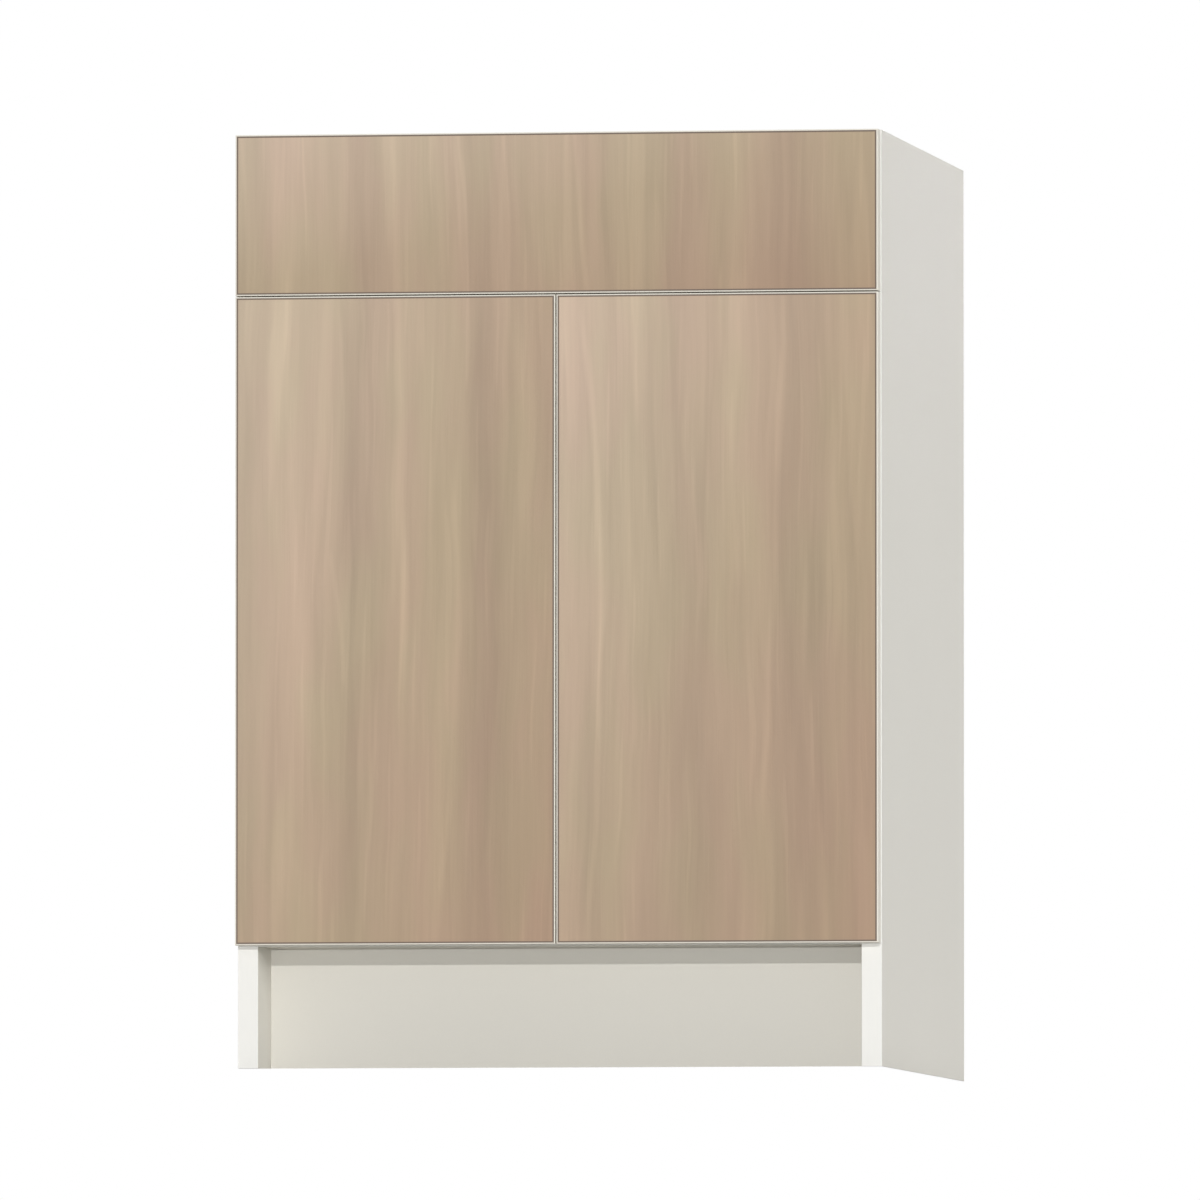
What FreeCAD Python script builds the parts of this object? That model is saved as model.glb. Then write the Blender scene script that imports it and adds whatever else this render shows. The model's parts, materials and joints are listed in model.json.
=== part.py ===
"""Kitchen base cabinet: a drawer over a pair of doors, with plain slab fronts and a recessed toe kick.

Millimetres. X runs to the right as seen from the front, Y to the back and Z up.
The origin is on the floor, in the middle of the outer width and of the outer depth.
Pieces that come in pairs are drawn for the left side and mirrored in the plane X = 0.
"""
import FreeCAD
import Part
import math
import os
from FreeCAD import Vector

# Overall sizes
width = 609.6
height = 876.3
depth = 603.25
toe_height = 114.3
toe_recess = 76.2

# Boards
carcass_board = 19.05
front_board = 19.05
toe_board_thickness = 15.875
back_board = 6.35
edge_band = 1.0
front_edge_band = 1.2
front_arris = 0.6
carcass_arris = 0.3
cut_overrun = 2.0

# Fronts, and the gaps round them
reveal = 0.5875
front_gap = 1.0
standoff = 2.0
drawer_front_height = 151.3125

# Carcass
rail_depth = 88.9
wall_rail_height = 88.9
groove_depth = 8.0
groove_play = 0.15
groove_end_play = 0.5
shelf_side_play = 0.8
shelf_setback = 25.0
shelf_back_play = 4.0

# Rows of shelf holes
line_hole_radius = 2.5
line_hole_depth = 11.0
line_hole_pitch = 32.0
line_hole_setback = 37.0
line_hole_count = 9

# Shelf pins
pin_pad_length = 9.0
pin_pad_width = 14.0
pin_pad_thickness = 2.2
pin_web_thickness = 1.8
pin_web_height = 9.0
pin_fit = 0.05
pin_end_play = 0.5
pin_corner = 2.5

# Cam fittings
cam_radius = 7.5
cam_cover = 1.875
cam_setback = 24.0
cam_play = 0.1
cam_slot_height = 7.8
cam_recess_length = 9.0
cam_recess_width = 1.4
cam_recess_depth = 1.8
bolt_thread_radius = 2.5
bolt_thread_length = 11.0
bolt_shank_radius = 3.2
bolt_neck_radius = 1.8
bolt_neck_length = 5.0
bolt_head_length = 3.0
bolt_hole_radius = 3.5
panel_cam_shares = (0.2, 0.8)
rail_cam_shares = (0.5,)

# Dowels
dowel_radius = 4.0
dowel_length = 30.0
dowel_in_side = 10.0
dowel_end_play = 1.0
dowel_fit = 0.03
dowel_chamfer = 1.0
panel_dowel_shares = (0.08, 0.5, 0.92)
rail_dowel_shares = (0.2, 0.8)

# Holes for wall screws and worktop screws
fixing_hole_radius = 2.5
wall_hole_spacing = 406.4
worktop_hole_spacing = 457.2

# Drawer box
drawer_board = 12.7
drawer_bottom_board = 6.35
drawer_box_clearance = 11.1125
drawer_bottom_lift = 12.7
drawer_groove_depth = 6.35
drawer_bottom_play = 0.2
tail_count = 3
tail_end_share = 0.34
tail_root_share = 0.28
front_screw_x_share = 0.34
front_screw_inset = 16.0

# Drawer slides, in pressed steel with their channels open towards each other
slide_setback = 3.0
slide_back_clearance = 45.8
slide_thickness = 12.7
slide_sheet = 1.2
slide_lip = 0.4
slide_half_height = 22.85
slide_tip_gap = 2.9
ball_race = 3.45
middle_web_gap = 0.8
middle_tip_gap = 0.9
inner_tip_gap = 1.3

# Balls and cages
ball_play = 0.075
ball_inset = 1.35
balls_in_row = 6
cage_sheet = 0.4
cage_flange = 0.8
cage_gap = 0.2
cage_hole_play = 0.1
cage_length_share = 0.44

# Screws
recess_width = 1.0
recess_depth_share = 0.6
recess_reach_share = 0.6
screw_fit = 0.04
slide_screw_shank = 1.9
slide_screw_head = 3.6
slide_screw_length = 12.0
drawer_screw_cover = 1.9
slide_screw_head_height = 1.9
slide_screw_shares = (0.07, 0.5, 0.9)
front_screw_shank = 2.0
front_screw_head = 4.2
front_screw_head_height = 2.2
front_screw_cover = 3.75

# Bumpers
bumper_radius = 3.4
bumper_clearance = 0.2
bumper_inset = 26.0
bumper_rounding = 0.8

# Concealed hinges: the cup in the door
hinge_end_distance = 100.0
cup_radius = 17.5
cup_depth = 13.2
cup_edge_distance = 5.0
cup_wall = 0.8
cup_fit = 0.05
cup_rounding = 1.2
cup_rim = 2.0
cup_flange = 1.0
cup_ear_radius = 5.5
cup_screw_inset = 6.0
cup_screw_spacing = 48.0

# Concealed hinges: the links, and where their pins and bends are with the door shut
hinge_pin_radius = 1.0
hinge_pin_fit = 0.03
link_thickness = 1.6
link_eye_radius = 2.0
long_link_half = 2.6
short_link_inner = 3.0
short_link_outer = 5.0
open_eye_play = 0.6
open_eye_radius = 2.4
long_cup_pin_wall = 3.82
long_cup_pin_depth = 1.2
short_cup_pin_wall = 5.99
short_cup_pin_depth = 5.7
long_arm_pin_in = 20.95
long_arm_pin_back = 36.0
short_arm_pin_in = 5.85
short_arm_pin_back = 0.26
long_bend_front_in = 17.0
long_bend_front_down = 4.6
long_bend_rear_in = 22.2
long_bend_rear_down = 2.36
short_bend_front_in = 12.97
short_bend_rear_in = 26.34
short_bend_floor = 2.1

# Concealed hinges: the arm and its plate on the side panel
arm_sheet = 1.2
arm_inner_half = 5.5
arm_eye_radius = 2.6
arm_lift = 10.5
arm_start = 24.0
arm_end = 58.0
arm_knee_in = 7.0
arm_foot_play = 0.25
arm_screw_inset = 6.0
arm_screw_shank = 2.2
arm_screw_length = 8.0
plate_thickness = 2.0
plate_wing_radius = 6.0
plate_foot_half = 9.0
plate_screw_spacing = 32.0
plate_screw_shank = 2.5
plate_screw_head = 3.6

# Directions
right = Vector(1, 0, 0)
back = Vector(0, 1, 0)
up = Vector(0, 0, 1)

# Places worked out from the sizes
half_width = width / 2
inner_half = half_width - carcass_board
front_face_y = -depth / 2
front_back_y = front_face_y + front_board
carcass_front_y = front_back_y + standoff
carcass_back_y = depth / 2
board_front_y = carcass_front_y + edge_band
wall_rail_y = carcass_back_y - carcass_board
back_panel_y = wall_rail_y - back_board
bottom_top_z = toe_height + carcass_board
top_rail_z = height - carcass_board
wall_rail_z = height - wall_rail_height
fronts_top_z = height - reveal
drawer_front_z = fronts_top_z - drawer_front_height
door_top_z = drawer_front_z - front_gap
door_bottom_z = toe_height + reveal
gap_z = (drawer_front_z + door_top_z) / 2
divider_z = gap_z - carcass_board / 2
divider_top_z = divider_z + carcass_board
fronts_half_width = half_width - reveal
door_free_x = front_gap / 2
box_half_width = inner_half - slide_thickness
box_inner_half = box_half_width - drawer_board
box_bottom_z = divider_top_z + drawer_box_clearance
box_top_z = top_rail_z - drawer_box_clearance
box_middle_z = (box_bottom_z + box_top_z) / 2
drawer_box_height = box_top_z - box_bottom_z
drawer_bottom_z = box_bottom_z + drawer_bottom_lift
slide_front_y = carcass_front_y + slide_setback
box_back_y = back_panel_y - slide_back_clearance
slide_length = box_back_y - slide_front_y
slide_middle_y = slide_front_y + slide_length / 2
cage_length = slide_length * cage_length_share
slide_flange_reach = slide_thickness - slide_tip_gap
middle_start = slide_sheet + middle_web_gap
middle_reach = slide_thickness - slide_sheet - middle_tip_gap
inner_start = middle_start + slide_sheet + inner_tip_gap
middle_half_height = slide_half_height - slide_sheet - ball_race
inner_half_height = middle_half_height - slide_sheet - ball_race
cam_depth = toe_board_thickness - cam_cover
drawer_screw_length = slide_sheet + drawer_board - drawer_screw_cover
front_screw_length = drawer_board + front_board - front_screw_cover

# Centres of the left hinges' pins and bends, seen from above
cup_start_x = cup_edge_distance - fronts_half_width
cup_x = cup_start_x + cup_radius
short_bend_down = cup_depth - short_bend_floor
long_cup_point = Vector(cup_start_x + long_cup_pin_wall, front_back_y - long_cup_pin_depth, 0)
short_cup_point = Vector(cup_start_x + short_cup_pin_wall, front_back_y - short_cup_pin_depth, 0)
long_arm_point = Vector(long_arm_pin_in - inner_half, carcass_front_y + long_arm_pin_back, 0)
short_arm_point = Vector(short_arm_pin_in - inner_half, carcass_front_y + short_arm_pin_back, 0)
long_bend_front = Vector(long_bend_front_in - half_width, front_back_y - long_bend_front_down, 0)
long_bend_rear = Vector(long_bend_rear_in - half_width, front_back_y - long_bend_rear_down, 0)
short_bend_front = Vector(short_bend_front_in - half_width, front_back_y - short_bend_down, 0)
short_bend_rear = Vector(short_bend_rear_in - half_width, front_back_y - short_bend_down, 0)

nodes = {}
side_cuts = []


def keep(node, *solids):
    """Adds solids to a node."""
    nodes.setdefault(node, []).extend(solids)


def mirrored(shape):
    """The same piece on the right-hand side."""
    return shape.mirror(Vector(0, 0, 0), right)


def keep_pair(node, *solids):
    """Adds left-hand solids to left_NODE and their mirror images to right_NODE."""
    keep("left_" + node, *solids)
    keep("right_" + node, *[mirrored(solid) for solid in solids])


def keep_both(node, *solids):
    """Adds left-hand solids and their mirror images to the same node."""
    keep(node, *solids)
    keep(node, *[mirrored(solid) for solid in solids])


def block(x, y, z):
    """A box between two values of each coordinate."""
    low = Vector(min(x), min(y), min(z))
    high = Vector(max(x), max(y), max(z))
    size = high - low
    return Part.makeBox(size.x, size.y, size.z, low)


def rod(radius, start, end):
    """A cylinder from one point to another."""
    return Part.makeCylinder(radius, (end - start).Length, start, end - start)


def around(centre, reach):
    """The pair of values at the same distance on both sides of a centre."""
    return (centre - reach, centre + reach)


def joined(first, *others):
    """Several solids as one."""
    return first.fuse(list(others)).removeSplitter() if others else first


def without(shape, tools):
    """A solid with every tool cut out of it."""
    return shape.cut(list(tools)) if tools else shape


def rounded(shape, radius, wanted):
    """A solid with the edges that pass a test rounded over."""
    return shape.makeFillet(radius, [edge for edge in shape.Edges if wanted(edge)])


def runs_along(edge, direction):
    """True for a straight edge that lies along a direction."""
    if not isinstance(edge.Curve, Part.Line):
        return False
    return abs(abs(edge.tangentAt(edge.FirstParameter).dot(direction)) - 1) < Part.Precision.confusion()


def placed(shape, point, direction):
    """Puts a piece that was built along +Z at a point, along a direction."""
    shape.Placement = FreeCAD.Placement(point, FreeCAD.Rotation(up, direction))
    return shape


def cross_slots(radius, face, slot_depth):
    """Tools for the crossed slots in a screw's head, whose face is at a height and looks down -Z."""
    reach = radius * recess_reach_share
    deep = (face - cut_overrun, face + slot_depth)
    narrow = around(0, recess_width / 2)
    return [block(around(0, reach), narrow, deep), block(narrow, around(0, reach), deep)]


def pan_screw(point, direction, shank, head, head_height, length):
    """A screw with a domed head that bears on a face at a point and runs on along a direction."""
    dome = Part.makeCylinder(head, head_height, -up * head_height)
    dome = rounded(dome, head_height / 2,
                   lambda edge: edge.Closed and edge.CenterOfMass.z < -head_height / 2)
    screw = joined(dome, Part.makeCylinder(shank, length))
    return placed(without(screw, cross_slots(head, -head_height, head_height * recess_depth_share)),
                  point, direction)


def flush_screw(point, direction, shank, head, sheet, length):
    """A countersunk screw that is flush with a sheet's face at a point."""
    screw = joined(Part.makeCone(head, shank, sheet), Part.makeCylinder(shank, length))
    return placed(without(screw, cross_slots(head, 0, sheet * recess_depth_share)), point, direction)


def screw_hole(point, direction, shank, length):
    """A tool for the hole of a screw that starts at a point, with a running start in front of it."""
    return rod(shank + screw_fit, point - direction * cut_overrun, point + direction * (length + screw_fit))


class Board:
    """A board between the side panels, with the cuts that its end fittings make in it."""

    def __init__(self, node, y, z, cam_face, cam_shares, dowel_shares):
        self.node = node
        self.y = y
        self.z = z
        self.face = cam_face
        self.lies_flat = abs(cam_face.z) > abs(cam_face.y)
        self.thickness = z[1] - z[0] if self.lies_flat else y[1] - y[0]
        self.cuts = []
        for share in cam_shares:
            self.fit_cam(self.end_point(share))
        for share in dowel_shares:
            self.fit_dowel(self.end_point(share))

    def end_point(self, share):
        """The middle of the left end's thickness, at a share of the board's width."""
        if self.lies_flat:
            return Vector(-inner_half, self.y[0] + share * (self.y[1] - self.y[0]), sum(self.z) / 2)
        return Vector(-inner_half, sum(self.y) / 2, self.z[0] + share * (self.z[1] - self.z[0]))

    def cut_both_ends(self, tool):
        self.cuts.append(tool)
        self.cuts.append(mirrored(tool))

    def fit_cam(self, end):
        """A cam lock in the board's hidden face and its bolt out of the side panel."""
        face_point = end + right * cam_setback + self.face * (self.thickness / 2)
        into = -self.face
        self.cut_both_ends(rod(cam_radius, face_point - into * cut_overrun, face_point + into * cam_depth))
        self.cut_both_ends(rod(bolt_hole_radius, end - right * cut_overrun, end + right * cam_setback))
        side_cuts.append(rod(bolt_thread_radius + pin_fit, end - right * bolt_thread_length,
                             end + right * cut_overrun))
        keep_both("cam_bolts", self.cam_bolt(end))
        cam = rod(cam_radius - cam_play, face_point, face_point + into * (cam_depth - cam_play))
        keep_both("cam_locks", without(cam, self.cam_slots(end, face_point)))

    def cam_bolt(self, end):
        """A bolt with a thread in the side panel, a shank, a neck and a head for the cam to pull."""
        head_end = end + right * cam_setback
        head_start = head_end - right * bolt_head_length
        neck_start = head_start - right * bolt_neck_length
        return joined(rod(bolt_thread_radius, end - right * (bolt_thread_length - pin_end_play), end),
                      rod(bolt_shank_radius, end, neck_start),
                      rod(bolt_neck_radius, neck_start, head_start),
                      rod(bolt_shank_radius, head_start, head_end))

    def cam_slots(self, end, face_point):
        """Tools for the slot that takes the bolt's head and for the crossed slots that a driver turns."""
        half = cam_slot_height / 2
        centre = end + right * cam_setback
        tools = [block((centre.x - cam_radius - cut_overrun, centre.x + half),
                       around(centre.y, half), around(centre.z, half))]
        bottom = face_point - self.face * cam_recess_depth
        top = face_point + self.face * cut_overrun
        for long_x in (True, False):
            x = around(centre.x, (cam_recess_length if long_x else cam_recess_width) / 2)
            across = (cam_recess_width if long_x else cam_recess_length) / 2
            if self.lies_flat:
                tools.append(block(x, around(centre.y, across), (bottom.z, top.z)))
            else:
                tools.append(block(x, (bottom.y, top.y), around(centre.z, across)))
        return tools

    def fit_dowel(self, end):
        """A dowel glued into the board's end and slid into the side panel."""
        outer = end - right * dowel_in_side
        inner = end + right * (dowel_length - dowel_in_side)
        hole = rod(dowel_radius + dowel_fit, outer - right * dowel_end_play, inner + right * dowel_end_play)
        side_cuts.append(hole)
        self.cut_both_ends(hole)
        dowel = rod(dowel_radius, outer, inner)
        ends = [edge for edge in dowel.Edges if edge.Closed]
        keep_both("dowels", dowel.makeChamfer(dowel_chamfer, ends))

    def finish(self, extra_cuts=()):
        """Keeps the board itself, with every cut made in it."""
        keep(self.node, without(block(around(0, inner_half), self.y, self.z), self.cuts + list(extra_cuts)))


def back_panel_space():
    """The room that the back panel takes in its grooves."""
    return block(around(0, inner_half + groove_depth),
                 (back_panel_y - groove_play, wall_rail_y + groove_play),
                 (bottom_top_z - groove_depth, height + cut_overrun))


def carcass_rails():
    """The boards between the side panels."""
    front_rail_y = (board_front_y, board_front_y + rail_depth)
    rear_rail_y = (back_panel_y - rail_depth, back_panel_y)
    toe_y = carcass_front_y + toe_recess
    worktop_holes = [rod(fixing_hole_radius, Vector(x, sum(y) / 2, top_rail_z - cut_overrun),
                         Vector(x, sum(y) / 2, height + cut_overrun))
                     for x in around(0, worktop_hole_spacing / 2) for y in (front_rail_y, rear_rail_y)]
    bottom = Board("bottom_panel", (board_front_y, carcass_back_y), (toe_height, bottom_top_z),
                   -up, panel_cam_shares, panel_dowel_shares)
    bottom.finish([back_panel_space()])
    for node, y in (("front_top_rail", front_rail_y), ("rear_top_rail", rear_rail_y)):
        rail = Board(node, y, (top_rail_z, height), -up, rail_cam_shares, rail_dowel_shares)
        rail.finish(worktop_holes)
    divider = Board("divider_rail", front_rail_y, (divider_z, divider_top_z),
                    -up, rail_cam_shares, rail_dowel_shares)
    divider.finish()
    for node, y, face in (("toe_board", toe_y, back),
                          ("rear_toe_board", carcass_back_y - toe_board_thickness, -back)):
        board = Board(node, (y, y + toe_board_thickness), (0, toe_height),
                      face, rail_cam_shares, rail_dowel_shares)
        board.finish()
    for node, z in (("wall_rail", wall_rail_z), ("lower_wall_rail", bottom_top_z)):
        rail = Board(node, (wall_rail_y, carcass_back_y), (z, z + wall_rail_height),
                     back, rail_cam_shares, rail_dowel_shares)
        rail.finish(wall_screw_holes())


def wall_screw_holes():
    """Tools for the holes through the wall rail and the back panel."""
    z = wall_rail_z + wall_rail_height / 2
    return [rod(fixing_hole_radius, Vector(x, back_panel_y - cut_overrun, z),
                Vector(x, carcass_back_y + cut_overrun, z)) for x in around(0, wall_hole_spacing / 2)]


def back_panel():
    """The thin panel that slides down the grooves in the side panels and the bottom panel."""
    panel = block(around(0, inner_half + groove_depth - groove_end_play), (back_panel_y, wall_rail_y),
                  (bottom_top_z - groove_depth + groove_end_play, height))
    keep("back_panel", without(panel, wall_screw_holes()))


def line_hole_places():
    """The centres of the shelf holes' mouths in the left side panel, column by column."""
    front_y = carcass_front_y + line_hole_setback
    middle_z = (bottom_top_z + divider_z) / 2
    lowest_z = middle_z - (line_hole_count - 1) / 2 * line_hole_pitch
    return [[Vector(-inner_half, y, lowest_z + row * line_hole_pitch) for row in range(line_hole_count)]
            for y in (front_y, back_panel_y - line_hole_setback)]


def shelf_pin(mouth):
    """A pin in a shelf hole, with a pad under the shelf and a web against the side panel."""
    pin = rod(line_hole_radius - pin_fit, mouth - right * (line_hole_depth - pin_end_play), mouth)
    y = around(mouth.y, pin_pad_width / 2)
    top = mouth.z + pin_web_height / 2
    pad = block((mouth.x, mouth.x + pin_pad_length), y, (top - pin_pad_thickness, top))
    web = block((mouth.x, mouth.x + pin_web_thickness), y, (top - pin_web_height, top))
    web = rounded(web, pin_corner, lambda edge: runs_along(edge, right) and edge.CenterOfMass.z < mouth.z)
    return joined(pin, pad, web)


def shelf():
    """The adjustable shelf, its edge band and its four pins."""
    top = 0
    for column in line_hole_places():
        for mouth in column:
            side_cuts.append(rod(line_hole_radius, mouth - right * line_hole_depth,
                                 mouth + right * cut_overrun))
        mouth = column[line_hole_count // 2]
        keep_both("shelf_pins", shelf_pin(mouth))
        top = mouth.z + pin_web_height / 2
    x = around(0, inner_half - shelf_side_play)
    z = (top, top + carcass_board)
    front_y = board_front_y + shelf_setback
    keep("shelf", block(x, (front_y + edge_band, back_panel_y - shelf_back_play), z))
    band = block(x, (front_y, front_y + edge_band), z)
    keep("shelf_edge_band", rounded(band, carcass_arris, lambda edge: edge.CenterOfMass.y == front_y
                                    and runs_along(edge, right)))


def carcass_bands():
    """The edge bands on the front edges of the side panels, the bottom panel and the rails."""
    y = (carcass_front_y, board_front_y)

    def band(x, z, direction):
        strip = block(x, y, z)
        near = carcass_front_y + edge_band / 2
        return rounded(strip, carcass_arris,
                       lambda edge: runs_along(edge, direction) and edge.CenterOfMass.y < near)

    keep_both("carcass_edge_bands", band((-half_width, -inner_half), (0, height), up))
    for low in (toe_height, divider_z, top_rail_z):
        keep("carcass_edge_bands", band(around(0, inner_half), (low, low + carcass_board), right))


def side_panels():
    """The two side panels, made last because every fitting adds its holes to them."""
    panel = block((-half_width, -inner_half), (board_front_y, carcass_back_y), (0, height))
    keep_pair("side_panel", without(panel, side_cuts + [back_panel_space()]))


def front_slab(x, z):
    """The core of a door or drawer front and the band round its four edges, between outer sizes."""
    y = (front_face_y, front_back_y)
    core = block((x[0] + front_edge_band, x[1] - front_edge_band), y,
                 (z[0] + front_edge_band, z[1] - front_edge_band))
    outer = rounded(block(x, y, z), front_arris, lambda edge: not runs_along(edge, back))
    return core, outer.cut(core)


def bumper(x, z):
    """A round bumper on the back of a front, just clear of the carcass behind it."""
    start = Vector(x, front_back_y, z)
    end = start + back * (standoff - bumper_clearance)
    return rounded(rod(bumper_radius, start, end), bumper_rounding,
                   lambda edge: edge.Closed and edge.CenterOfMass.y > start.y + bumper_rounding / 2)


def drawer_front():
    """The drawer front with its band, its screws and its bumpers."""
    core, band = front_slab(around(0, fronts_half_width), (drawer_front_z, fronts_top_z))
    places = [Vector(x, front_back_y + drawer_board, z)
              for x in around(0, box_half_width * 2 * front_screw_x_share)
              for z in (drawer_bottom_z + drawer_bottom_board + front_screw_inset,
                        box_top_z - front_screw_inset)]
    holes = []
    for place in places:
        keep("drawer_front_screws", pan_screw(place, -back, front_screw_shank, front_screw_head,
                                              front_screw_head_height, front_screw_length))
        holes.append(screw_hole(place, -back, front_screw_shank, front_screw_length))
    keep("drawer_front", without(core, holes))
    keep("drawer_front_edge_band", band)
    side_middle = (inner_half + fronts_half_width) / 2
    for z in (drawer_front_z + bumper_inset, fronts_top_z - bumper_inset):
        keep_both("drawer_bumpers", bumper(-side_middle, z))
    return holes


def drawer_bottom_space(play):
    """The drawer bottom with the same play all round it."""
    reach = box_inner_half + drawer_groove_depth - drawer_bottom_play + play
    inset = drawer_board - drawer_groove_depth + drawer_bottom_play - play
    return block(around(0, reach), (front_back_y + inset, box_back_y - inset),
                 (drawer_bottom_z - play / 2, drawer_bottom_z + drawer_bottom_board + play / 2))


def dovetails(corner_y, into):
    """The left side's tails at one end, from the corner into the box along Y."""
    pitch = drawer_box_height / tail_count
    tails = []
    for index in range(tail_count):
        z = box_bottom_z + (index + 1 / 2) * pitch
        end_half = pitch * tail_end_share
        root_half = pitch * tail_root_share
        root_y = corner_y + into * drawer_board
        x = -box_half_width
        points = [Vector(x, corner_y, z - end_half), Vector(x, root_y, z - root_half),
                  Vector(x, root_y, z + root_half), Vector(x, corner_y, z + end_half)]
        outline = Part.makePolygon(points + points[:1])
        tails.append(Part.Face(outline).extrude(right * drawer_board))
    return tails


def drawer_box(front_holes):
    """The dovetailed box, its bottom and the holes for the slides' screws."""
    z = (box_bottom_z, box_top_z)
    y = (front_back_y, box_back_y)
    groove = drawer_bottom_space(drawer_bottom_play)
    front_tails = dovetails(front_back_y, 1)
    back_tails = dovetails(box_back_y, -1)
    middle = block((-box_half_width, -box_inner_half), (y[0] + drawer_board, y[1] - drawer_board), z)
    side = joined(middle, *front_tails, *back_tails)
    keep_pair("drawer_side", without(side, [groove] + drawer_screw_holes()))
    full_width = around(0, box_half_width)
    ends = (("drawer_box_front", (y[0], y[0] + drawer_board), front_tails, front_holes),
            ("drawer_box_back", (y[1] - drawer_board, y[1]), back_tails, []))
    for node, end_y, tails, holes in ends:
        sockets = tails + [mirrored(tail) for tail in tails]
        keep(node, without(block(full_width, end_y, z), sockets + [groove] + holes))
    keep("drawer_bottom", drawer_bottom_space(0))


def slide_block(s, y, z):
    """A box of the left slide, where s counts from the side panel towards the drawer."""
    return block((s[0] - inner_half, s[1] - inner_half), y, z)


def slide_channel(web, tip, half_height, lip):
    """A channel along the slide: a web, two flanges out to a tip, and a lip on each flange."""
    y = around(slide_middle_y, slide_length / 2)
    towards = 1 if tip > web else -1
    pieces = [slide_block((web, web + towards * slide_sheet), y, around(box_middle_z, half_height))]
    for side in (1, -1):
        outer_z = box_middle_z + side * half_height
        inner_z = outer_z - side * slide_sheet
        pieces.append(slide_block((web, tip), y, (inner_z, outer_z)))
        pieces.append(slide_block((tip - towards * slide_sheet, tip), y, (inner_z - side * lip, outer_z)))
    channel = joined(*pieces)
    web_x = web - inner_half
    near = slide_sheet / 2
    return rounded(channel, slide_sheet,
                   lambda edge: runs_along(edge, back) and abs(edge.CenterOfMass.x - web_x) < near)


def slide_screw_places(x):
    """Where the screws go through the web of one slide member."""
    return [Vector(x, slide_front_y + slide_length * share, box_middle_z) for share in slide_screw_shares]


def cabinet_member():
    """The slide's member on the side panel, with flush screws."""
    face = slide_sheet - inner_half
    member = slide_channel(0, slide_flange_reach, slide_half_height, slide_lip)
    for place in slide_screw_places(face):
        screw = flush_screw(place, -right, slide_screw_shank, slide_screw_head, slide_sheet,
                            slide_screw_length)
        keep_both("cabinet_member_screws", screw)
        side_cuts.append(screw_hole(place, -right, slide_screw_shank, slide_screw_length))
        member = member.cut(placed(Part.makeCone(slide_screw_head, slide_screw_shank, slide_sheet),
                                   place, -right))
    keep_pair("cabinet_member", member)


def drawer_screw_holes():
    """Tools for the slide screws' holes in the left side of the box."""
    web_face = slide_thickness - slide_sheet - inner_half
    return [screw_hole(place, right, slide_screw_shank, drawer_screw_length)
            for place in slide_screw_places(web_face)]


def drawer_member():
    """The slide's member on the drawer, with domed screws inside its channel."""
    web_face = slide_thickness - slide_sheet - inner_half
    member = slide_channel(slide_thickness, inner_start, inner_half_height, 0)
    keep_pair("drawer_member", without(member, drawer_screw_holes()))
    for place in slide_screw_places(web_face):
        keep_both("drawer_member_screws", pan_screw(place, right, slide_screw_shank, slide_screw_head,
                                                    slide_screw_head_height, drawer_screw_length))


def ball_row(node, s, z, radius):
    """One row of balls, held at even steps along its cage."""
    pitch = cage_length / balls_in_row
    first = slide_middle_y - (balls_in_row - 1) / 2 * pitch
    centres = [Vector(s - inner_half, first + index * pitch, z) for index in range(balls_in_row)]
    for centre in centres:
        ball = Part.makeSphere(radius)
        ball.Placement = FreeCAD.Placement(centre, FreeCAD.Rotation())
        keep_both(node, ball)
    return centres


def ball_cage(name, outer_face, inner_face, web, lip_start):
    """The cage and the two rows of balls that run between two members' flanges."""
    radius = (outer_face - inner_face) / 2 - ball_play
    centre_z = (outer_face + inner_face) / 2
    ball_s = lip_start - cage_gap - ball_inset - radius
    tip = lip_start - cage_gap
    y = around(slide_middle_y, cage_length / 2)
    holes = []
    flanges = []
    for side in (1, -1):
        z = box_middle_z + side * centre_z
        flanges.append(slide_block((web, tip), y, around(z, cage_flange / 2)))
        for centre in ball_row(name + "_balls", ball_s, z, radius):
            holes.append(rod(radius + cage_hole_play, centre - up * cage_flange, centre + up * cage_flange))
    plate = slide_block((web, web + cage_sheet), y, around(box_middle_z, centre_z))
    keep_both(name + "_ball_cages", without(joined(plate, *flanges), holes))


def drawer_slides():
    """Both slides: three members, two cages and four rows of balls on each side."""
    cabinet_member()
    keep_pair("middle_member", slide_channel(middle_start, middle_reach, middle_half_height, slide_lip))
    drawer_member()
    ball_cage("outer", slide_half_height - slide_sheet, middle_half_height,
              slide_sheet + cage_gap, slide_flange_reach - slide_sheet)
    ball_cage("inner", middle_half_height - slide_sheet, inner_half_height,
              middle_start + slide_sheet + 2 * cage_gap, middle_reach - slide_sheet)


def hinge_point(u, v, z):
    """A point near the left hinges: u in from the side panel's outer face, v back from the carcass."""
    return Vector(u - half_width, carcass_front_y + v, z)


def strip(points, thickness, z):
    """A strip bent to run through points, as seen from above, between two heights."""
    rise = z[1] - z[0]
    pieces = []
    for start, end in zip(points, points[1:]):
        piece = Part.makeBox((end - start).Length, thickness, rise, Vector(0, -thickness / 2, 0))
        corner = Vector(start.x, start.y, z[0])
        piece.Placement = FreeCAD.Placement(corner, FreeCAD.Rotation(right, end - start))
        pieces.append(piece)
    for point in points[1:-1]:
        pieces.append(Part.makeCylinder(thickness / 2, rise, Vector(point.x, point.y, z[0])))
    return joined(*pieces)


def upright_rod(radius, point, z):
    """A vertical cylinder through a point, between two heights."""
    return rod(radius, Vector(point.x, point.y, z[0]), Vector(point.x, point.y, z[1]))


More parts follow.
